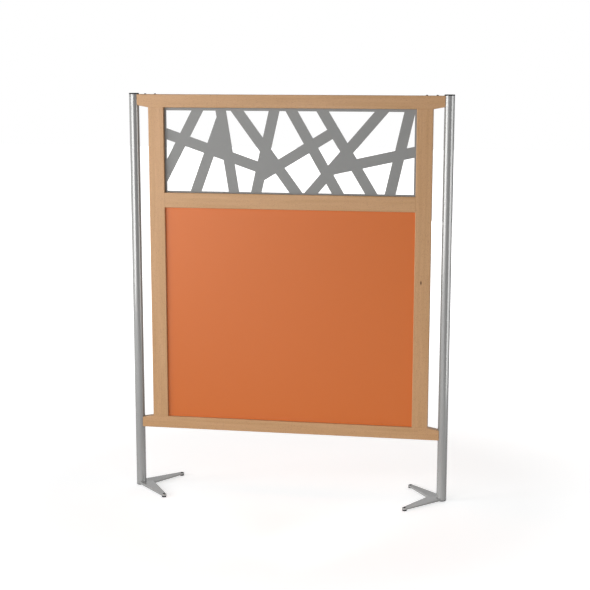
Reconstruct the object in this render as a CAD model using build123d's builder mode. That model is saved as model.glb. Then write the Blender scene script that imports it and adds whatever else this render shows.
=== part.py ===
from build123d import *
import os
from math import atan2, degrees, hypot, sqrt

os.makedirs("parts", exist_ok=True)

# Free-standing partition screen: a beech frame with a cut-out grille above a solid panel,
# hung between two round steel posts that stand on V-shaped feet with levelling glides.
# Millimetres. X runs along the screen, Y from its front to its back, Z up from the floor.
# The origin is the centre of the footprint, on the floor.

# Driving dimensions

# Posts, from axis to axis and from the floor to the ends of the tube
post_spacing = 1160.0
post_diameter = 37.0
post_wall = 1.5
post_top = 1500.0
post_bottom = 6.0

# Plastic inserts that close the posts: a flange that shows and a hollow spigot in the tube
cap_flange_height = 4.0
cap_edge_chamfer = 0.5
plug_flange_height = 3.6
plug_edge_chamfer = 2.0
spigot_length = 18.0
spigot_wall = 2.0
spigot_clearance = 0.1

# Legs, each a tapered bar of which two make a V: tip centre measured from the post's axis
leg_reach_inward = 126.0
leg_reach_sideways = 133.5
leg_crotch_reach = 49.0
leg_tip_radius = 9.5
leg_tip_thickness = 6.0
leg_root_thickness = 10.4
leg_edge_radius = 1.0
weld_gap = 0.1

# Levelling glides: a pad that stands on the floor and a threaded stud that turns in it
pad_diameter = 17.5
pad_height = 5.5
pad_lower_chamfer = 1.0
pad_upper_chamfer = 0.5
pad_stop_gap = 0.1
stud_diameter = 8.0
stud_above_leg = 2.0
stud_end_chamfer = 0.8
stud_slot_width = 1.2
stud_slot_depth = 1.4
stud_clearance = 0.05
stud_head_diameter = 12.0
stud_head_height = 2.0
stud_head_clearance = 0.1
pad_sole_thickness = 1.2

# Beech frame
frame_thickness = 28.0
top_rail_height = 48.0
upper_opening_height = 313.0
middle_rail_height = 56.0
bottom_rail_height = 46.0
bottom_rail_top = 282.0
stile_width = 58.5
stile_to_post_gap = 37.5
neck_taper = 8.0
neck_corner_radius = 6.0
frame_edge_radius = 2.5
frame_joint_chamfer = 0.6
cope_clearance = 0.3
cope_lip = 0.4

# Grille, a laser-cut sheet held in a groove round the upper opening
grille_thickness = 2.0
grille_groove_depth = 8.0
grille_side_border = 7.5
grille_top_border = 10.8
grille_bottom_border = 6.0
grille_bar_width = 39.0
grille_least_opening = 22.0

# Panel in a wider groove round the lower opening
panel_thickness = 8.0
panel_groove_depth = 9.0

# Clearances of a sheet in its groove, on each face and at the bottom of the groove
groove_face_clearance = 0.15
groove_end_clearance = 1.0

# Round pegs that are welded to the posts and enter the rails' ends
peg_diameter = 14.0
peg_length = 46.0
peg_depth = 23.0
peg_socket_clearance = 0.2
peg_end_clearance = 1.0
peg_chamfer = 1.0

# Screws through the rails, into the pegs and into the ends of the stiles
screw_diameter = 5.0
screw_head_diameter = 8.0
screw_head_height = 2.6
screw_head_chamfer = 1.2
screw_key_width = 3.0
screw_key_depth = 1.6
screw_hole_clearance = 0.1
screw_end_clearance = 1.0
peg_screw_from_post = 24.3
peg_screw_length = 36.0
stile_screw_from_edge = 24.3
stile_screw_length = 90.0

# Dowels
dowel_diameter = 8.0
dowel_length = 40.0
dowel_chamfer = 1.0
dowel_clearance = 0.1
dowel_end_clearance = 1.0
corner_dowel_offset = 14.0
middle_dowel_offset = 16.0

# How far a cut runs past the face that it leaves by
cut_overrun = 5.0

# Bars of the grille, from one end to the other, as shares of the window's width and height
# measured from its lower left corner. Ends below 0 or above 1 run out under the border.
grille_bar_shares = (
    ((-0.038, 0.032), (0.180, 1.300)),
    ((-0.048, 0.762), (0.391, 0.296)),
    ((0.084, -0.300), (0.226, 0.894)),
    ((0.292, -0.300), (0.209, 1.300)),
    ((0.601, -0.300), (0.220, 1.300)),
    ((0.346, -0.300), (0.463, 1.300)),
    ((0.383, 0.193), (0.684, 0.757)),
    ((0.754, -0.300), (0.456, 1.300)),
    ((0.891, -0.300), (0.577, 1.300)),
    ((0.507, -0.300), (0.954, 1.300)),
    ((0.670, 0.291), (1.050, 0.552)),
    ((0.885, -0.300), (1.002, 1.300)),
)

# Places that follow from the driving dimensions

post_radius = post_diameter / 2
post_x = post_spacing / 2
half_thickness = frame_thickness / 2
cope_radius = post_radius + cope_clearance
rail_end_x = post_x - sqrt(cope_radius**2 - (half_thickness - cope_lip) ** 2)
stile_outer_x = post_x - post_radius - stile_to_post_gap
stile_inner_x = stile_outer_x - stile_width
stile_centre_x = (stile_outer_x + stile_inner_x) / 2
top_rail_bottom = post_top - top_rail_height
middle_rail_top = top_rail_bottom - upper_opening_height
middle_rail_bottom = middle_rail_top - middle_rail_height
bottom_rail_bottom = bottom_rail_top - bottom_rail_height
leg_bottom = pad_height + pad_stop_gap
sides = (("left", -1), ("right", 1))
depths = (("front", -1), ("back", 1))


# Post tubes

for side, sign in sides:
    with BuildPart() as post_tube:
        with BuildSketch(Plane((sign * post_x, 0, post_bottom))):
            Circle(post_radius)
            Circle(post_radius - post_wall, mode=Mode.SUBTRACT)
        extrude(amount=post_top - post_bottom)
    post_tube.part.label = f"{side}_post_tube"
    export_step(post_tube.part, f"parts/{side}_post_tube.step")


# Caps and bottom plugs: a flange over the tube's end with its edge broken, and a hollow spigot
# inside the tube


def tube_insert(plane, flange_height, edge_chamfer):
    spigot_radius = post_radius - post_wall - spigot_clearance
    with BuildPart() as insert:
        with BuildSketch(plane):
            Circle(post_radius)
        extrude(amount=flange_height)
        outward = Axis(plane.origin, plane.z_dir)
        chamfer(insert.faces().sort_by(outward)[-1].edges(), length=edge_chamfer)
        with BuildSketch(plane):
            Circle(spigot_radius)
            Circle(spigot_radius - spigot_wall, mode=Mode.SUBTRACT)
        extrude(amount=-spigot_length)
    return insert.part


for side, sign in sides:
    with BuildPart() as post_cap:
        cap_plane = Plane((sign * post_x, 0, post_top))
        add(tube_insert(cap_plane, cap_flange_height, cap_edge_chamfer))
    post_cap.part.label = f"{side}_post_cap"
    export_step(post_cap.part, f"parts/{side}_post_cap.step")

    with BuildPart() as bottom_plug:
        plug_plane = Plane((sign * post_x, 0, post_bottom), z_dir=(0, 0, -1))
        add(tube_insert(plug_plane, plug_flange_height, plug_edge_chamfer))
    bottom_plug.part.label = f"{side}_post_bottom_plug"
    export_step(bottom_plug.part, f"parts/{side}_post_bottom_plug.step")


# Legs: the outline is the hull of the root at the post and the round tip, the top slopes
# down along the leg, and the two legs of a post meet in a mitre over the screen's line

full_turn = 360
leg_run = hypot(leg_reach_inward, leg_reach_sideways)
leg_fall = leg_root_thickness - leg_tip_thickness

for side, sign in sides:
    for depth, way in depths:
        tip = (sign * (post_x - leg_reach_inward), way * leg_reach_sideways)
        root = (sign * post_x, 0)
        with BuildPart() as leg:
            with BuildSketch(Plane.XY.offset(leg_bottom)):
                with BuildLine():
                    Polyline(
                        (sign * post_x, way * post_radius),
                        root,
                        (sign * (post_x - leg_crotch_reach), 0),
                    )
                    CenterArc(tip, leg_tip_radius, start_angle=0, arc_size=full_turn)
                make_hull()
            extrude(amount=leg_root_thickness)
            slope = Plane(
                origin=(*root, leg_bottom + leg_root_thickness),
                x_dir=(tip[0] - root[0], tip[1] - root[1], -leg_fall),
                z_dir=(leg_fall * (tip[0] - root[0]), leg_fall * (tip[1] - root[1]), leg_run**2),
            )
            split(bisect_by=slope, keep=Keep.BOTTOM)
            top_edges = leg.faces().sort_by(Axis.Z)[-1].edges()
            all_but_mitre = top_edges.sort_by(Axis.Y, reverse=way < 0)[1:]
            fillet(all_but_mitre, radius=leg_edge_radius)
            with BuildSketch(Plane((*root, leg_bottom))):
                Circle(post_radius + weld_gap)
            extrude(amount=leg_root_thickness, mode=Mode.SUBTRACT)
            with Locations(Location((*tip, leg_bottom))):
                Hole(stud_diameter / 2 + stud_clearance)
        leg.part.label = f"{side}_{depth}_leg"
        export_step(leg.part, f"parts/{side}_{depth}_leg.step")


# Levelling glides. The stud stands in the leg's threaded hole, its head turns in the pad

stud_radius = stud_diameter / 2
head_radius = stud_head_diameter / 2
head_bottom = pad_sole_thickness + stud_head_clearance
stud_top = leg_bottom + leg_tip_thickness + stud_above_leg

for side, sign in sides:
    for depth, way in depths:
        tip = (sign * (post_x - leg_reach_inward), way * leg_reach_sideways)
        with BuildPart() as glide_pad:
            with BuildSketch(Plane(tip)):
                Circle(pad_diameter / 2)
            extrude(amount=pad_height)
            chamfer(glide_pad.edges().group_by(Axis.Z)[0], length=pad_lower_chamfer)
            chamfer(glide_pad.edges().group_by(Axis.Z)[-1], length=pad_upper_chamfer)
            with BuildSketch(Plane((*tip, pad_sole_thickness))):
                Circle(head_radius + stud_head_clearance)
            extrude(amount=stud_head_height + 2 * stud_head_clearance, mode=Mode.SUBTRACT)
            with BuildSketch(Plane((*tip, pad_sole_thickness))):
                Circle(stud_radius + stud_head_clearance)
            extrude(amount=pad_height, mode=Mode.SUBTRACT)
        glide_pad.part.label = f"{side}_{depth}_glide_pad"
        export_step(glide_pad.part, f"parts/{side}_{depth}_glide_pad.step")

        with BuildPart() as glide_stud:
            with BuildSketch(Plane((*tip, head_bottom))):
                Circle(head_radius)
            extrude(amount=stud_head_height)
            with BuildSketch(Plane((*tip, head_bottom))):
                Circle(stud_radius)
            extrude(amount=stud_top - head_bottom)
            chamfer(glide_stud.edges().group_by(Axis.Z)[-1], length=stud_end_chamfer)
            with BuildSketch(Plane((*tip, stud_top))):
                Rectangle(stud_diameter, stud_slot_width)
            extrude(amount=-stud_slot_depth, mode=Mode.SUBTRACT)
        glide_stud.part.label = f"{side}_{depth}_glide_stud"
        export_step(glide_stud.part, f"parts/{side}_{depth}_glide_stud.step")


# Places of the pegs, screws and dowels, shared by the pieces and by the holes that take them

upper_peg_height = post_top - peg_depth
lower_peg_height = bottom_rail_bottom + peg_depth
peg_socket_radius = peg_diameter / 2 + peg_socket_clearance
peg_screw_x = post_x - post_radius - peg_screw_from_post
peg_screw_places = [(sign * peg_screw_x, 0) for side, sign in sides]
stile_screw_x = stile_outer_x - stile_screw_from_edge
stile_screw_places = [(sign * stile_screw_x, 0) for side, sign in sides]
screw_hole_radius = screw_diameter / 2 + screw_hole_clearance
dowel_hole_radius = dowel_diameter / 2 + dowel_clearance
dowel_hole_depth = dowel_length / 2 + dowel_end_clearance
corner_dowel_places = [
    (sign * stile_centre_x + offset, 0)
    for side, sign in sides
    for offset in (-corner_dowel_offset, corner_dowel_offset)
]
middle_rail_centre = (middle_rail_top + middle_rail_bottom) / 2
middle_dowel_places = [
    (0, middle_rail_centre + offset) for offset in (-middle_dowel_offset, middle_dowel_offset)
]


# Pegs: coped to the post at the root, chamfered at the free end, with a hole for the screw

for side, sign in sides:
    for level, height in (("upper", upper_peg_height), ("lower", lower_peg_height)):
        peg_plane = Plane((sign * post_x, 0, height), z_dir=(-sign, 0, 0))
        with BuildPart() as peg:
            with BuildSketch(peg_plane):
                Circle(peg_diameter / 2)
            extrude(amount=post_radius + peg_length)
            free_end = peg.faces().sort_by(Axis(peg_plane.origin, peg_plane.z_dir))[-1]
            chamfer(free_end.edges(), length=peg_chamfer)
            with BuildSketch(Plane((sign * post_x, 0, height))):
                Circle(post_radius + weld_gap)
            extrude(amount=peg_diameter, both=True, mode=Mode.SUBTRACT)
            with BuildSketch(Plane((sign * peg_screw_x, 0, height))):
                Circle(screw_hole_radius)
            extrude(amount=peg_diameter, both=True, mode=Mode.SUBTRACT)
        peg.part.label = f"{side}_{level}_peg"
        export_step(peg.part, f"parts/{side}_{level}_peg.step")


# Envelope of the glued-up frame. Its edges are rounded with the pieces already joined, so the
# rounding runs round each opening and round the outside, and stops at no joint

frame_openings = ((bottom_rail_top, middle_rail_bottom), (middle_rail_top, top_rail_bottom))

with BuildPart() as frame_envelope:
    with BuildSketch(Plane.XZ):
        with BuildLine():
            Polyline(
                (-rail_end_x, bottom_rail_bottom),
                (rail_end_x, bottom_rail_bottom),
                (rail_end_x, bottom_rail_top - neck_taper),
                (stile_outer_x, bottom_rail_top),
                (stile_outer_x, top_rail_bottom),
                (rail_end_x, top_rail_bottom + neck_taper),
                (rail_end_x, post_top),
                (-rail_end_x, post_top),
                (-rail_end_x, top_rail_bottom + neck_taper),
                (-stile_outer_x, top_rail_bottom),
                (-stile_outer_x, bottom_rail_top),
                (-rail_end_x, bottom_rail_top - neck_taper),
                close=True,
            )
        make_face()
        end_corners = vertices().group_by(Axis.X)[0] + vertices().group_by(Axis.X)[-1]
        fillet(end_corners.sort_by(Axis.Y)[2:-2], radius=neck_corner_radius)
        for low, high in frame_openings:
            with Locations((0, (low + high) / 2)):
                Rectangle(2 * stile_inner_x, high - low, mode=Mode.SUBTRACT)
    extrude(amount=half_thickness, both=True)
    fillet(frame_envelope.faces().filter_by(Axis.Y).edges(), radius=frame_edge_radius)


# Top and bottom rails: their inner edge tapers to the post beyond the stiles, the ends are
# coped round the posts, and pegs, screws, dowels and a sheet are let into them

grille_groove_width = grille_thickness + 2 * groove_face_clearance
grille_groove = (grille_groove_width, grille_groove_depth)
panel_groove_width = panel_thickness + 2 * groove_face_clearance
panel_groove = (panel_groove_width, panel_groove_depth)
rails = (
    ("top", post_top, -1, top_rail_height, upper_peg_height, grille_groove),
    ("bottom", bottom_rail_bottom, 1, bottom_rail_height, lower_peg_height, panel_groove),
)

for level, outer, inward, height, peg_height, (groove_width, groove_depth) in rails:
    inner = outer + inward * height
    with BuildPart() as rail:
        with BuildSketch(Plane.XY.offset(outer)):
            Rectangle(2 * rail_end_x, frame_thickness)
        extrude(amount=inward * height)
        add(frame_envelope.part, mode=Mode.INTERSECT)
        with BuildSketch(Plane.XY.offset(inner)):
            with Locations((-post_x, 0), (post_x, 0)):
                Circle(cope_radius)
        extrude(amount=height + cut_overrun, both=True, mode=Mode.SUBTRACT)
        for side, sign in sides:
            with BuildSketch(Plane((sign * post_x, 0, peg_height), z_dir=(-sign, 0, 0))):
                Circle(peg_socket_radius)
            extrude(amount=post_radius + peg_length + peg_end_clearance, mode=Mode.SUBTRACT)
        with BuildSketch(Plane.XY.offset(outer)):
            with Locations(*peg_screw_places):
                Circle(screw_hole_radius)
        extrude(amount=inward * (peg_screw_length + screw_end_clearance), mode=Mode.SUBTRACT)
        with BuildSketch(Plane.XY.offset(outer)):
            with Locations(*stile_screw_places):
                Circle(screw_hole_radius)
        extrude(amount=inward * (height + cut_overrun), mode=Mode.SUBTRACT)
        with BuildSketch(Plane.XY.offset(inner)):
            with Locations(*corner_dowel_places):
                Circle(dowel_hole_radius)
        extrude(amount=-inward * dowel_hole_depth, mode=Mode.SUBTRACT)
        with BuildSketch(Plane.XY.offset(inner)):
            Rectangle(2 * (stile_inner_x + groove_depth), groove_width)
        extrude(amount=-inward * groove_depth, mode=Mode.SUBTRACT)
    rail.part.label = f"{level}_rail"
    export_step(rail.part, f"parts/{level}_rail.step")


# Middle rail: butts between the stiles with its end edges eased, and has a groove for the
# grille above and one for the panel below

with BuildPart() as middle_rail:
    with BuildSketch(Plane.XY.offset(middle_rail_bottom)):
        Rectangle(2 * stile_inner_x, frame_thickness)
    extrude(amount=middle_rail_height)
    chamfer(middle_rail.edges().filter_by(Axis.Z), length=frame_joint_chamfer)
    add(frame_envelope.part, mode=Mode.INTERSECT)
    with BuildSketch(Plane.XY.offset(middle_rail_top)):
        Rectangle(2 * stile_inner_x, grille_groove_width)
    extrude(amount=-grille_groove_depth, mode=Mode.SUBTRACT)
    with BuildSketch(Plane.XY.offset(middle_rail_bottom)):
        Rectangle(2 * stile_inner_x, panel_groove_width)
    extrude(amount=panel_groove_depth, mode=Mode.SUBTRACT)
    for side, sign in sides:
        with BuildSketch(Plane.YZ.offset(sign * stile_inner_x)):
            with Locations(*middle_dowel_places):
                Circle(dowel_hole_radius)
        extrude(amount=-sign * dowel_hole_depth, mode=Mode.SUBTRACT)
middle_rail.part.label = "middle_rail"
export_step(middle_rail.part, "parts/middle_rail.step")


# Stiles: butt between the top and bottom rails with their end edges eased, and have the
# sheets' grooves in the inner edge

grille_groove_low = middle_rail_top - grille_groove_depth
panel_groove_high = middle_rail_bottom + panel_groove_depth
stile_grooves = (
    (grille_groove_low, top_rail_bottom, grille_groove),
    (bottom_rail_top, panel_groove_high, panel_groove),
)

for side, sign in sides:
    with BuildPart() as stile:
        with BuildSketch(Plane((sign * stile_centre_x, 0, bottom_rail_top))):
            Rectangle(stile_width, frame_thickness)
        extrude(amount=top_rail_bottom - bottom_rail_top)
        chamfer(stile.edges().filter_by(Axis.X), length=frame_joint_chamfer)
        add(frame_envelope.part, mode=Mode.INTERSECT)
        for low, high, (groove_width, groove_depth) in stile_grooves:
            with BuildSketch(Plane((sign * (stile_inner_x + groove_depth / 2), 0, low))):
                Rectangle(groove_depth, groove_width)
            extrude(amount=high - low, mode=Mode.SUBTRACT)
        for end, into in ((top_rail_bottom, -1), (bottom_rail_top, 1)):
            with BuildSketch(Plane((sign * stile_centre_x, 0, end))):
                with Locations((-corner_dowel_offset, 0), (corner_dowel_offset, 0)):
                    Circle(dowel_hole_radius)
            extrude(amount=into * dowel_hole_depth, mode=Mode.SUBTRACT)
        for end, outer in ((top_rail_bottom, post_top), (bottom_rail_top, bottom_rail_bottom)):
            pilot_depth = stile_screw_length - abs(outer - end) + screw_end_clearance
            into = 1 if outer < end else -1
            with BuildSketch(Plane((sign * stile_screw_x, 0, end))):
                Circle(screw_hole_radius)
            extrude(amount=into * pilot_depth, mode=Mode.SUBTRACT)
        with BuildSketch(Plane.YZ.offset(sign * stile_inner_x)):
            with Locations(*middle_dowel_places):
                Circle(dowel_hole_radius)
        extrude(amount=sign * dowel_hole_depth, mode=Mode.SUBTRACT)
    stile.part.label = f"{side}_stile"
    export_step(stile.part, f"parts/{side}_stile.step")


# Upper grille: a border and crossing bars cut from one sheet, which ends inside the grooves.
# The few openings smaller than a square of the least opening's side are left uncut

grille_engagement = grille_groove_depth - groove_end_clearance
grille_width = 2 * (stile_inner_x + grille_engagement)
grille_low = middle_rail_top - grille_engagement
grille_high = top_rail_bottom + grille_engagement
grille_middle = (grille_low + grille_high) / 2
window_width = 2 * (stile_inner_x - grille_side_border)
window_left = -window_width / 2
window_low = middle_rail_top + grille_bottom_border
window_high = top_rail_bottom - grille_top_border
window_height = window_high - window_low

with BuildPart() as upper_grille:
    with BuildSketch(Plane.XZ):
        with Locations((0, grille_middle)):
            Rectangle(grille_width, grille_high - grille_low)
        with Locations((0, (window_low + window_high) / 2)):
            Rectangle(window_width, window_height, mode=Mode.SUBTRACT)
        for start_share, end_share in grille_bar_shares:
            start_x = window_left + start_share[0] * window_width
            start_height = window_low + start_share[1] * window_height
            run = (end_share[0] - start_share[0]) * window_width
            rise = (end_share[1] - start_share[1]) * window_height
            with Locations((start_x + run / 2, start_height + rise / 2)):
                Rectangle(hypot(run, rise), grille_bar_width, rotation=degrees(atan2(rise, run)))
        with Locations((0, grille_middle)):
            Rectangle(grille_width, grille_high - grille_low, mode=Mode.INTERSECT)
        openings = [Face(wire) for face in faces() for wire in face.inner_wires()]
        add([opening for opening in openings if opening.area < grille_least_opening**2])
    extrude(amount=grille_thickness / 2, both=True)
upper_grille.part.label = "upper_grille"
export_step(upper_grille.part, "parts/upper_grille.step")


# Lower panel, held in the grooves round the lower opening

panel_engagement = panel_groove_depth - groove_end_clearance
panel_low = bottom_rail_top - panel_engagement

with BuildPart() as lower_panel:
    with BuildSketch(Plane.XY.offset(panel_low)):
        Rectangle(2 * (stile_inner_x + panel_engagement), panel_thickness)
    extrude(amount=middle_rail_bottom + panel_engagement - panel_low)
lower_panel.part.label = "lower_panel"
export_step(lower_panel.part, "parts/lower_panel.step")


# Screws, two at each end of the top rail and the same from below in the bottom rail: a round
# head with a hexagon socket, and a shank to the peg or into the end of the stile

for level, outer, outward in (("top", post_top, 1), ("bottom", bottom_rail_bottom, -1)):
    head_plane = Plane((0, 0, outer), x_dir=(1, 0, 0), z_dir=(0, 0, outward))
    with BuildPart() as screws:
        with BuildSketch(head_plane):
            with Locations(*peg_screw_places, *stile_screw_places):
                Circle(screw_head_diameter / 2)
        extrude(amount=screw_head_height)
        along = Axis(head_plane.origin, head_plane.z_dir)
        head_tops = screws.faces().filter_by(Plane.XY).group_by(along)[-1]
        chamfer(head_tops.edges(), length=screw_head_chamfer)
        with BuildSketch(head_plane):
            with Locations(*peg_screw_places):
                Circle(screw_diameter / 2)
        extrude(amount=-peg_screw_length)
        with BuildSketch(head_plane):
            with Locations(*stile_screw_places):
                Circle(screw_diameter / 2)
        extrude(amount=-stile_screw_length)
        with BuildSketch(head_plane.offset(screw_head_height)):
            with Locations(*peg_screw_places, *stile_screw_places):
                RegularPolygon(screw_key_width / 2, side_count=6, major_radius=False)
        extrude(amount=-screw_key_depth, mode=Mode.SUBTRACT)
    screws.part.label = f"{level}_screws"
    export_step(screws.part, f"parts/{level}_screws.step")


# Dowels, half in one piece of the frame and half in the other

with BuildPart() as corner_dowels:
    for joint in (top_rail_bottom, bottom_rail_top):
        with BuildSketch(Plane.XY.offset(joint)):
            with Locations(*corner_dowel_places):
                Circle(dowel_diameter / 2)
        extrude(amount=dowel_length / 2, both=True)
    chamfer(corner_dowels.edges().filter_by(GeomType.CIRCLE), length=dowel_chamfer)
corner_dowels.part.label = "corner_dowels"
export_step(corner_dowels.part, "parts/corner_dowels.step")

with BuildPart() as middle_rail_dowels:
    for side, sign in sides:
        with BuildSketch(Plane.YZ.offset(sign * stile_inner_x)):
            with Locations(*middle_dowel_places):
                Circle(dowel_diameter / 2)
        extrude(amount=dowel_length / 2, both=True)
    chamfer(middle_rail_dowels.edges().filter_by(GeomType.CIRCLE), length=dowel_chamfer)
middle_rail_dowels.part.label = "middle_rail_dowels"
export_step(middle_rail_dowels.part, "parts/middle_rail_dowels.step")
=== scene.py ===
from math import atan2, hypot, radians

import bpy
from mathutils import Matrix, Vector


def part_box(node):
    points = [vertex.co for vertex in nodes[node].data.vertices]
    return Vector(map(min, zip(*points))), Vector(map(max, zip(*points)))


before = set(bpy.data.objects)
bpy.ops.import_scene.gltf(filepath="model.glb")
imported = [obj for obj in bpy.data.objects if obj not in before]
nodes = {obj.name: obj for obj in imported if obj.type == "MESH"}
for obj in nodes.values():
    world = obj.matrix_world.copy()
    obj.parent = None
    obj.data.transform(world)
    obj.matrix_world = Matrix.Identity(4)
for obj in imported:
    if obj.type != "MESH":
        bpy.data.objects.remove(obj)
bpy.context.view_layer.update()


# Posts and their pegs. Each post is a round steel tube, and the four tapered legs are welded
# to the tubes before the whole is powder coated in silver grey. The coat holds fine aluminium
# flake under a smooth skin, so the tube reflects the room softly instead of mirroring it.

sides = ("left", "right")
depths = ("front", "back")


def linear(hex_colour):
    """An sRGB hex colour as the linear values that a shader takes."""
    channels = [int(hex_colour[i : i + 2], 16) / 255 for i in (1, 3, 5)]
    return [c / 12.92 if c <= 0.04045 else ((c + 0.055) / 1.055) ** 2.4 for c in channels] + [1.0]


def new_material(name):
    """An empty node material and its Principled shader."""
    material = bpy.data.materials.new(name)
    material.use_nodes = True
    return material, material.node_tree.nodes["Principled BSDF"]


def add_node(tree, kind, sockets, **settings):
    """One node with its settings, and with a value or a link in each named socket."""
    added = tree.nodes.new(kind)
    for name, value in settings.items():
        setattr(added, name, value)
    for name, value in sockets.items():
        if isinstance(value, bpy.types.NodeSocket):
            tree.links.new(value, added.inputs[name])
        else:
            added.inputs[name].default_value = value
    return added


def dress(material, *names):
    """Puts a material on CAD nodes in place of the plain one that they came with."""
    for name in names:
        nodes[name].data.materials.clear()
        nodes[name].data.materials.append(material)


# The real flake is a few hundredths of a millimetre, too fine to show, so it is drawn coarser.
# The ripple of the coat's skin, known as orange peel, has its real size of a few millimetres.
flake_size = 0.0009
peel_size = 0.004
peel_height = 0.00002
silver_coat, shader = new_material("silver powder-coated steel")
tree = silver_coat.node_tree
place = add_node(tree, "ShaderNodeTexCoord", {}).outputs["Object"]
flake = add_node(tree, "ShaderNodeTexNoise", {"Vector": place, "Scale": 1 / flake_size, "Detail": 1.0})
tint = add_node(
    tree,
    "ShaderNodeMix",
    {"Factor": flake.outputs["Fac"], "A": linear("#9A9A99"), "B": linear("#A1A1A0")},
    data_type="RGBA",
)
tree.links.new(tint.outputs["Result"], shader.inputs["Base Color"])
peel = add_node(tree, "ShaderNodeTexNoise", {"Vector": place, "Scale": 1 / peel_size, "Detail": 2.0})
relief = add_node(
    tree, "ShaderNodeBump", {"Height": peel.outputs["Fac"], "Strength": 0.15, "Distance": peel_height}
)
tree.links.new(relief.outputs["Normal"], shader.inputs["Normal"])
shader.inputs["Metallic"].default_value = 0.35
shader.inputs["Roughness"].default_value = 0.2
for side in sides:
    dress(silver_coat, f"{side}_post_tube", *[f"{side}_{depth}_leg" for depth in depths])

# The pegs are short ends of drawn bar, kept free of the coat because they sit in the rails,
# so they have the dull shine of bare steel
drawn_steel, shader = new_material("drawn steel bar")
shader.inputs["Base Color"].default_value = linear("#A9A6A1")
shader.inputs["Metallic"].default_value = 1.0
shader.inputs["Roughness"].default_value = 0.35
for side in sides:
    dress(drawn_steel, f"{side}_upper_peg", f"{side}_lower_peg")


# Caps, bottom plugs and glide pads. All are injection moulded in black polyethylene and
# pushed or turned into place. The mould leaves a fine matt grain on them, so they look
# flat black with hardly a highlight.

# The real grain is about a tenth of a millimetre, and it is drawn coarser to show at all
mould_grain = 0.0005
grain_height = 0.00003
black_plastic, shader = new_material("moulded black polyethylene")
tree = black_plastic.node_tree
place = add_node(tree, "ShaderNodeTexCoord", {}).outputs["Object"]
grain = add_node(tree, "ShaderNodeTexNoise", {"Vector": place, "Scale": 1 / mould_grain, "Detail": 2.0})
relief = add_node(
    tree, "ShaderNodeBump", {"Height": grain.outputs["Fac"], "Strength": 0.5, "Distance": grain_height}
)
tree.links.new(relief.outputs["Normal"], shader.inputs["Normal"])
shader.inputs["Base Color"].default_value = linear("#141415")
shader.inputs["Roughness"].default_value = 0.75
shader.inputs["Specular IOR Level"].default_value = 0.2
for side in sides:
    dress(black_plastic, f"{side}_post_cap", f"{side}_post_bottom_plug")
    dress(black_plastic, *[f"{side}_{depth}_glide_pad" for depth in depths])


# Screws and glide studs. The screws hold the frame to its pegs and stiles, and the studs carry
# the pads and turn in the legs. All are machined from steel bar and chemically blackened,
# which leaves a dull black with only a trace of the metal's shine.

black_steel, shader = new_material("blackened steel")
shader.inputs["Base Color"].default_value = linear("#141314")
shader.inputs["Metallic"].default_value = 0.1
shader.inputs["Roughness"].default_value = 0.6
shader.inputs["Specular IOR Level"].default_value = 0.2
dress(black_steel, "top_screws", "bottom_screws")
for side in sides:
    dress(black_steel, *[f"{side}_{depth}_glide_stud" for depth in depths])


# Beech frame: three rails and two stiles, planed from steamed beech, dowelled and glued, rounded
# a little on the long edges and lacquered satin. The grain runs along each piece, so the rails
# and the stiles have their own copies of the finish.

def beech(name, grain_axis):
    """Steamed beech with its grain along X or Z: broad bands, fine fibres, short dark flecks."""
    material, shader = new_material(name)
    tree = material.node_tree
    place = add_node(tree, "ShaderNodeTexCoord", {}).outputs["Object"]
    # The bands have their real width. Real fibres and flecks are a few tenths of a millimetre
    # wide and too fine to show, so both are drawn coarser.
    band_width, fibre_width, fleck_width = 0.016, 0.0012, 0.0009
    band_stretch, fibre_stretch, fleck_stretch = 22, 45, 5
    fibre_height = 0.00006

    def along(stretch):
        scale = [1.0, 1.0, 1.0]
        scale["XYZ".index(grain_axis)] = 1 / stretch
        return add_node(tree, "ShaderNodeMapping", {"Vector": place, "Scale": scale}).outputs["Vector"]

    bands = add_node(
        tree,
        "ShaderNodeTexNoise",
        {"Vector": along(band_stretch), "Scale": 1 / band_width, "Detail": 3.0, "Distortion": 0.5},
    )
    fibres = add_node(
        tree,
        "ShaderNodeTexNoise",
        {"Vector": along(fibre_stretch), "Scale": 1 / fibre_width, "Detail": 2.0},
    )
    flecks = add_node(
        tree,
        "ShaderNodeTexNoise",
        {"Vector": along(fleck_stretch), "Scale": 1 / fleck_width, "Detail": 0.0},
    )
    wood = add_node(tree, "ShaderNodeValToRGB", {"Fac": bands.outputs["Fac"]})
    wood.color_ramp.elements[0].position = 0.3
    wood.color_ramp.elements[0].color = linear("#BE9262")
    wood.color_ramp.elements[1].position = 0.7
    wood.color_ramp.elements[1].color = linear("#CA9E72")
    fibre_share = add_node(
        tree,
        "ShaderNodeMapRange",
        {"Value": fibres.outputs["Fac"], "From Min": 0.3, "From Max": 0.7, "To Min": 0.0, "To Max": 0.22},
    )
    with_fibres = add_node(
        tree,
        "ShaderNodeMix",
        {"Factor": fibre_share.outputs["Result"], "A": wood.outputs["Color"], "B": linear("#A87B55")},
        data_type="RGBA",
    )
    fleck_share = add_node(
        tree,
        "ShaderNodeMapRange",
        {"Value": flecks.outputs["Fac"], "From Min": 0.66, "From Max": 0.74, "To Min": 0.0, "To Max": 0.4},
    )
    with_flecks = add_node(
        tree,
        "ShaderNodeMix",
        {
            "Factor": fleck_share.outputs["Result"],
            "A": with_fibres.outputs["Result"],
            "B": linear("#8A5C3B"),
        },
        data_type="RGBA",
    )
    tree.links.new(with_flecks.outputs["Result"], shader.inputs["Base Color"])
    relief = add_node(
        tree,
        "ShaderNodeBump",
        {"Height": fibres.outputs["Fac"], "Strength": 0.25, "Distance": fibre_height},
    )
    tree.links.new(relief.outputs["Normal"], shader.inputs["Normal"])
    shader.inputs["Roughness"].default_value = 0.45
    shader.inputs["IOR"].default_value = 1.5
    return material


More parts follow.
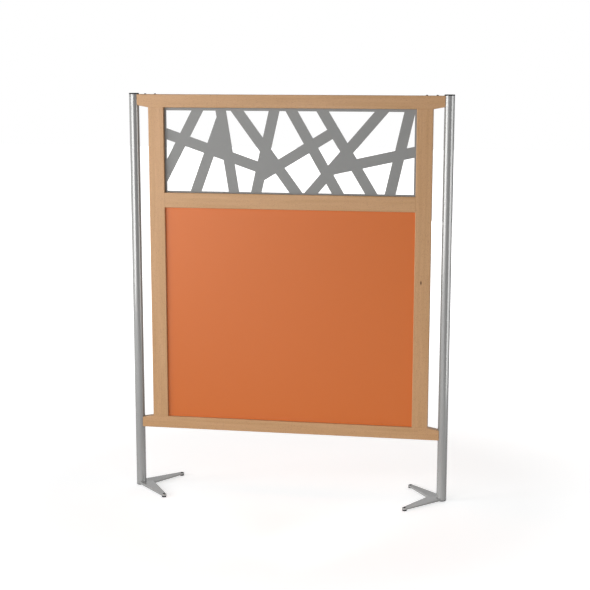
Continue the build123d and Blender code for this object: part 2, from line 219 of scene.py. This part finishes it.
dress(beech("steamed beech, grain along the rails", "X"), "top_rail", "middle_rail", "bottom_rail")
stile_beech = beech("steamed beech, grain along the stiles", "Z")
dress(stile_beech, "left_stile", "right_stile")
dress(beech("beech dowels", "Z"), "corner_dowels", "middle_rail_dowels")

# The small dark pin knot in the face of the right stile, longer along the grain than across it
stile_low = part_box("right_stile")[0]
knot_from_edge = 0.025
knot_height = 0.8263
knot_spot = Vector((stile_low.x + knot_from_edge, stile_low.y, knot_height))
knot_stretch = Vector((1, 1, 0.45))
knot_heart, knot_rim = 0.0018, 0.0042
tree = stile_beech.node_tree
shader = tree.nodes["Principled BSDF"]
place = add_node(tree, "ShaderNodeTexCoord", {}).outputs["Object"]
around = add_node(
    tree,
    "ShaderNodeMapping",
    {"Vector": place, "Location": -knot_spot * knot_stretch, "Scale": knot_stretch},
)
away = add_node(tree, "ShaderNodeVectorMath", {0: around.outputs["Vector"]}, operation="LENGTH")
knot_share = add_node(
    tree,
    "ShaderNodeMapRange",
    {
        "Value": away.outputs["Value"],
        "From Min": knot_heart,
        "From Max": knot_rim,
        "To Min": 0.95,
        "To Max": 0.0,
    },
)
grain_colour = shader.inputs["Base Color"].links[0].from_socket
with_knot = add_node(
    tree,
    "ShaderNodeMix",
    {"Factor": knot_share.outputs["Result"], "A": grain_colour, "B": linear("#5E3B1D")},
    data_type="RGBA",
)
tree.links.new(with_knot.outputs["Result"], shader.inputs["Base Color"])


# Grille: one sheet of steel, laser cut into crossing bars, powder coated in matt grey and held
# in grooves of the frame. The coat has a fine even texture and almost no gloss, so the bars
# look evenly grey from end to end.

# The real texture is a few tenths of a millimetre, and it is drawn coarser to show at all
coat_grain = 0.0007
coat_height = 0.00004
grey_coat, shader = new_material("matt grey powder coat")
tree = grey_coat.node_tree
place = add_node(tree, "ShaderNodeTexCoord", {}).outputs["Object"]
grain = add_node(tree, "ShaderNodeTexNoise", {"Vector": place, "Scale": 1 / coat_grain, "Detail": 2.0})
tint = add_node(
    tree,
    "ShaderNodeMix",
    {"Factor": grain.outputs["Fac"], "A": linear("#838382"), "B": linear("#8B8B89")},
    data_type="RGBA",
)
tree.links.new(tint.outputs["Result"], shader.inputs["Base Color"])
relief = add_node(
    tree, "ShaderNodeBump", {"Height": grain.outputs["Fac"], "Strength": 0.4, "Distance": coat_height}
)
tree.links.new(relief.outputs["Normal"], shader.inputs["Normal"])
shader.inputs["Roughness"].default_value = 0.6
dress(grey_coat, "upper_grille")


# Panel: board faced on both sides with orange laminate and held in grooves of the frame. The
# press plate gives the laminate a satin surface with a very fine even pebble, which spreads
# the highlight of a lamp over the whole panel.

# The real pebble is a few tenths of a millimetre, and it is drawn coarser to show at all
pebble_size = 0.0012
pebble_height = 0.00003
laminate, shader = new_material("satin orange laminate")
tree = laminate.node_tree
place = add_node(tree, "ShaderNodeTexCoord", {}).outputs["Object"]
pebble = add_node(tree, "ShaderNodeTexNoise", {"Vector": place, "Scale": 1 / pebble_size, "Detail": 1.0})
tint = add_node(
    tree,
    "ShaderNodeMix",
    {"Factor": pebble.outputs["Fac"], "A": linear("#CC661B"), "B": linear("#D06A1F")},
    data_type="RGBA",
)
tree.links.new(tint.outputs["Result"], shader.inputs["Base Color"])
relief = add_node(
    tree, "ShaderNodeBump", {"Height": pebble.outputs["Fac"], "Strength": 0.3, "Distance": pebble_height}
)
tree.links.new(relief.outputs["Normal"], shader.inputs["Normal"])
shader.inputs["Roughness"].default_value = 0.42
shader.inputs["IOR"].default_value = 1.5
dress(laminate, "lower_panel")


# Studio: a white floor that fades into the white surroundings, soft lamps round the object, a
# black cloth over it and upright cards round it. The cards are what the glossy surfaces mirror,
# in place of the lamps.

# The floor glows for the camera, and most where it meets the surroundings
floor_width = 40.0
clear_radius = 0.9
faded_radius = 2.6
clear_glow = 0.62
faded_glow = 1.0
floor_in_reflections = 0.75
bpy.ops.object.select_all(action="DESELECT")
bpy.ops.mesh.primitive_plane_add(size=floor_width, location=(0, 0, 0))
floor = bpy.context.object
floor.name = "floor"
floor_paint, shader = new_material("white floor paint")
tree = floor_paint.node_tree
place = add_node(tree, "ShaderNodeTexCoord", {}).outputs["Object"]
shader.inputs["Base Color"].default_value = linear("#DEDEDE")
shader.inputs["Roughness"].default_value = 0.9
away = add_node(tree, "ShaderNodeVectorMath", {0: place}, operation="LENGTH")
fade = add_node(
    tree,
    "ShaderNodeMapRange",
    {
        "Value": away.outputs["Value"],
        "From Min": clear_radius,
        "From Max": faded_radius,
        "To Min": clear_glow,
        "To Max": faded_glow,
    },
)
light_path = add_node(tree, "ShaderNodeLightPath", {})
mirrored = add_node(
    tree,
    "ShaderNodeMath",
    {0: light_path.outputs["Is Glossy Ray"], 1: floor_in_reflections},
    operation="MULTIPLY",
)
shown = add_node(
    tree,
    "ShaderNodeMath",
    {0: light_path.outputs["Is Camera Ray"], 1: mirrored.outputs["Value"]},
    operation="MAXIMUM",
)
glow = add_node(
    tree,
    "ShaderNodeMath",
    {0: shown.outputs["Value"], 1: fade.outputs["Result"]},
    operation="MULTIPLY",
)
shader.inputs["Emission Color"].default_value = (1, 1, 1, 1)
tree.links.new(glow.outputs["Value"], shader.inputs["Emission Strength"])
floor.data.materials.append(floor_paint)

# The surroundings are white for the camera, brighter in reflections and dimmer as a light
ambient_level = 0.42
reflected_level = 1.2
world = bpy.data.worlds.new("white studio")
bpy.context.scene.world = world
world.use_nodes = True
tree = world.node_tree
light_path = add_node(tree, "ShaderNodeLightPath", {})
seen = add_node(
    tree,
    "ShaderNodeMath",
    {0: light_path.outputs["Is Camera Ray"], 1: light_path.outputs["Is Transmission Ray"]},
    operation="MAXIMUM",
)
level = add_node(
    tree,
    "ShaderNodeMapRange",
    {"Value": seen.outputs["Value"], "To Min": ambient_level, "To Max": 1.0},
)
mirrored = add_node(
    tree,
    "ShaderNodeMapRange",
    {
        "Value": light_path.outputs["Is Glossy Ray"],
        "To Min": level.outputs["Result"],
        "To Max": reflected_level,
    },
)
tree.nodes["Background"].inputs["Color"].default_value = (1, 1, 1, 1)
tree.links.new(mirrored.outputs["Result"], tree.nodes["Background"].inputs["Strength"])


def soft_lamp(name, spot, aim, width, height, power, spread=180):
    """A rectangular area lamp that faces a point, with its power in watts and its spread in degrees."""
    lamp = bpy.data.lights.new(name, "AREA")
    lamp.shape = "RECTANGLE"
    lamp.size = width
    lamp.size_y = height
    lamp.energy = power
    lamp.spread = radians(spread)
    holder = bpy.data.objects.new(name, lamp)
    bpy.context.scene.collection.objects.link(holder)
    holder.location = spot
    holder.rotation_euler = (Vector(aim) - Vector(spot)).to_track_quat("-Z", "Y").to_euler()
    holder.visible_camera = holder.visible_glossy = False


# A large lamp at the front left does most of the work. The narrow foot lamps light only the
# lowest part of the posts, and the back lamp keeps the far side from going black.
soft_lamp("key lamp", (-4.4, -8.2, 2.0), (0, 0, 0.6), width=7.6, height=3.6, power=325)
soft_lamp("side lamp", (-6.8, -3.2, 2.4), (0, 0, 0.6), width=2.2, height=2.2, power=165)
soft_lamp("low lamp", (0.2, -1.7, 0.15), (0.1, 0, 0.3), width=2.6, height=0.2, power=3.6)
foot_lamp = {"width": 0.3, "height": 0.12, "spread": 26}
soft_lamp("left foot lamp", (0.05, -0.85, 0.1), (-0.52, 0, 0), power=0.09, **foot_lamp)
soft_lamp("right foot lamp", (-0.05, -0.85, 0.1), (0.52, 0, 0), power=0.12, **foot_lamp)
soft_lamp("back lamp", (1.6, 8.5, 1.2), (0, 0, 0.7), width=6.0, height=2.2, power=250)

# The black cloth overhead throws no lamp's shadow. It only takes the place of the white
# surroundings above the object, which keeps the upward faces dim.
flag_height = 1.85
flag_size = (4.4, 3.0)
bpy.ops.object.select_all(action="DESELECT")
bpy.ops.mesh.primitive_plane_add(size=1, location=(0, -0.2, flag_height))
flag = bpy.context.object
flag.name = "overhead flag"
flag.scale = (*flag_size, 1)
bpy.ops.object.transform_apply(location=True, rotation=True, scale=True)
flag_cloth, shader = new_material("black cloth")
shader.inputs["Base Color"].default_value = linear("#1A1A1A")
shader.inputs["Roughness"].default_value = 1.0
flag.data.materials.append(flag_cloth)
flag.visible_camera = flag.visible_glossy = flag.visible_transmission = False
flag.visible_shadow = False


def upright_card(name, start, end, low, high, strength):
    """A card from one point of the floor plan to another, which only reflections see."""
    run, rise = end[0] - start[0], end[1] - start[1]
    middle = ((start[0] + end[0]) / 2, (start[1] + end[1]) / 2, (low + high) / 2)
    bpy.ops.object.select_all(action="DESELECT")
    bpy.ops.mesh.primitive_plane_add(
        size=1, location=middle, rotation=(radians(90), 0, atan2(rise, run))
    )
    card = bpy.context.object
    card.name = name
    card.scale = (hypot(run, rise), high - low, 1)
    bpy.ops.object.transform_apply(location=True, rotation=True, scale=True)
    material, shader = new_material(name)
    shader.inputs["Base Color"].default_value = (0, 0, 0, 1)
    shader.inputs["Emission Color"].default_value = (1, 1, 1, 1)
    shader.inputs["Emission Strength"].default_value = strength
    card.data.materials.append(material)
    card.visible_camera = card.visible_diffuse = card.visible_shadow = False
    card.visible_transmission = False


# The left and the far card draw the bright lines on the left halves of the posts, and the
# right ones those near their right edges. The front and the rear card keep what lies between
# and beside them dark, and the two at the back dim the tops of the legs.
front_corner = (1.68, -0.84)
right_corner = (1.73, -0.2)
rear_corner = (1.78, 0.35)
back_left, back_right = (-3.4, 4.0), (3.4, 4.0)
upright_card("left card", (-1.17, -2.26), (-1.07, -0.35), low=0.58, high=2.4, strength=5.2)
upright_card("far card", (-2.3, -6.0), (-1.1, -6.0), low=0.0, high=2.8, strength=4.5)
upright_card("front card", (-1.3, -4.3), front_corner, low=0.0, high=2.4, strength=0.45)
upright_card("right card", front_corner, right_corner, low=0.1, high=2.4, strength=3.9)
upright_card("right rear card", right_corner, rear_corner, low=0.1, high=2.4, strength=2.4)
upright_card("rear card", rear_corner, (1.2, 2.6), low=0.0, high=2.6, strength=0.5)
upright_card("low back card", back_right, back_left, low=0.3, high=1.3, strength=0.6)
upright_card("high back card", back_right, back_left, low=1.3, high=3.2, strength=1.0)


# Camera, where the photograph was taken from: 1.6 m above the floor, almost five metres in
# front and a little to the right, and turned and tilted towards the middle of the screen.

camera_spot = (0.8360, -4.7473, 1.6182)
turned_left = 9.708
tilted_down = 10.044
rolled = 0.058
camera_data = bpy.data.cameras.new("camera")
camera_data.sensor_width = 36.0
camera_data.lens = 80.39
camera = bpy.data.objects.new("camera", camera_data)
bpy.context.scene.collection.objects.link(camera)
turn = Matrix.Rotation(radians(turned_left), 4, "Z")
tilt = Matrix.Rotation(radians(90 - tilted_down), 4, "X")
roll = Matrix.Rotation(radians(rolled), 4, "Z")
camera.matrix_world = Matrix.Translation(camera_spot) @ turn @ tilt @ roll
bpy.context.scene.camera = camera
bpy.context.scene.view_settings.view_transform = "Standard"
